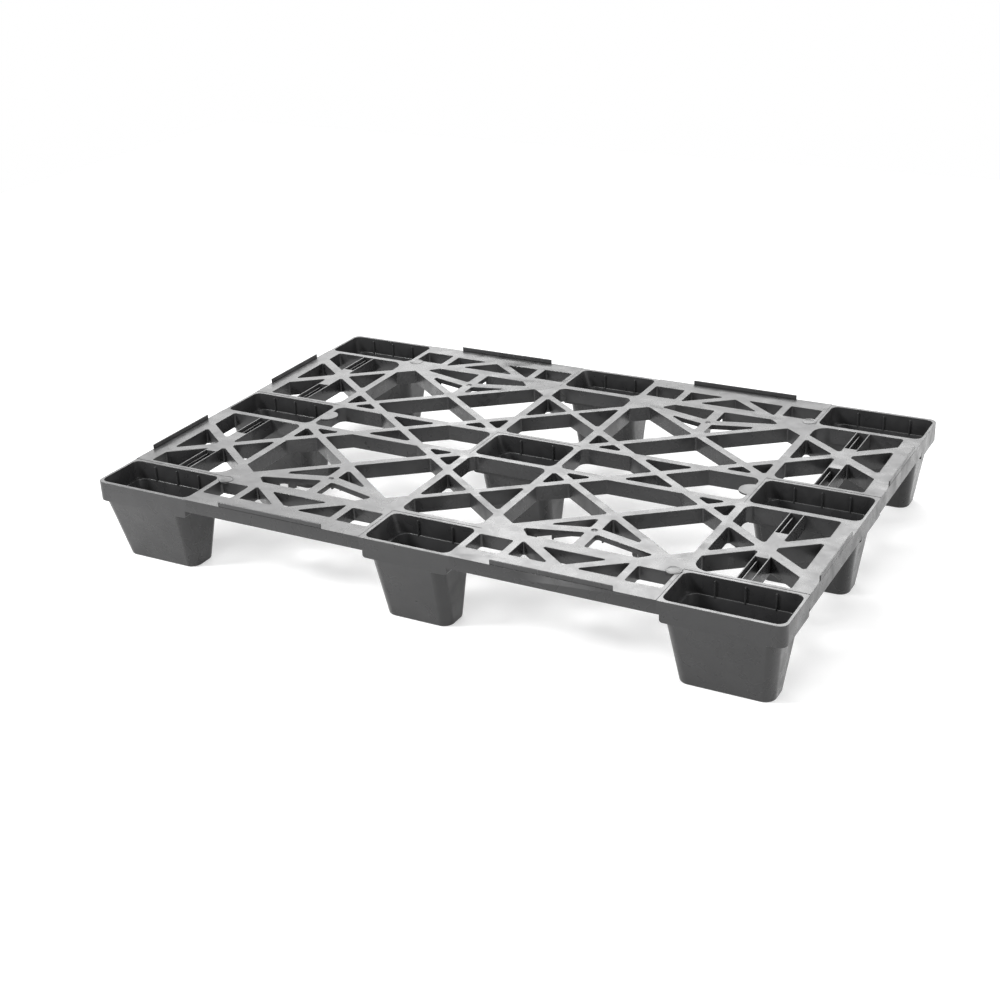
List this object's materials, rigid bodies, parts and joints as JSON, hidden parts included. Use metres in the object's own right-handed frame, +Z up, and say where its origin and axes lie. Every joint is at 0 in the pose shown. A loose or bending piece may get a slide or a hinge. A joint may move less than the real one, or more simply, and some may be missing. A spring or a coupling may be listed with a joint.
{
  "type": "plastic pallet",
  "caption": "Nestable plastic pallet with an open lattice deck of diagonal ribs on hollow tapered cup legs and low lips along the edges.",
  "frame": {"origin": "centre of the footprint, on the floor under the feet", "axes": "+X along the 1200 mm side, +Y along the 800 mm side towards the back, +Z up"},
  "size_m": [1.2, 0.8, 0.15],
  "materials": {
    "moulded_plastic": "satin moulded polypropylene, charcoal"
  },
  "bodies": {
    "root": {"leg_front_left": "moulded_plastic", "leg_front_centre": "moulded_plastic", "leg_front_right": "moulded_plastic", "leg_middle_left": "moulded_plastic", "leg_middle_centre": "moulded_plastic", "leg_middle_right": "moulded_plastic", "leg_back_left": "moulded_plastic", "leg_back_centre": "moulded_plastic", "leg_back_right": "moulded_plastic", "edge_strip_front_left": "moulded_plastic", "edge_strip_front_right": "moulded_plastic", "edge_strip_back_left": "moulded_plastic", "edge_strip_back_right": "moulded_plastic", "end_panel_front_left": "moulded_plastic", "end_panel_front_right": "moulded_plastic", "end_panel_back_left": "moulded_plastic", "end_panel_back_right": "moulded_plastic", "lattice_panel_front_left": "moulded_plastic", "lattice_panel_front_right": "moulded_plastic", "lattice_panel_back_left": "moulded_plastic", "lattice_panel_back_right": "moulded_plastic", "centre_panel_front_left": "moulded_plastic", "centre_panel_front_right": "moulded_plastic", "centre_panel_back_left": "moulded_plastic", "centre_panel_back_right": "moulded_plastic", "middle_panel_left": "moulded_plastic", "middle_panel_right": "moulded_plastic", "lip_front_left": "moulded_plastic", "lip_front_right": "moulded_plastic", "lip_back_left": "moulded_plastic", "lip_back_right": "moulded_plastic", "lip_left_front": "moulded_plastic", "lip_left_back": "moulded_plastic", "lip_right_front": "moulded_plastic", "lip_right_back": "moulded_plastic"}
  },
  "joints": []
}
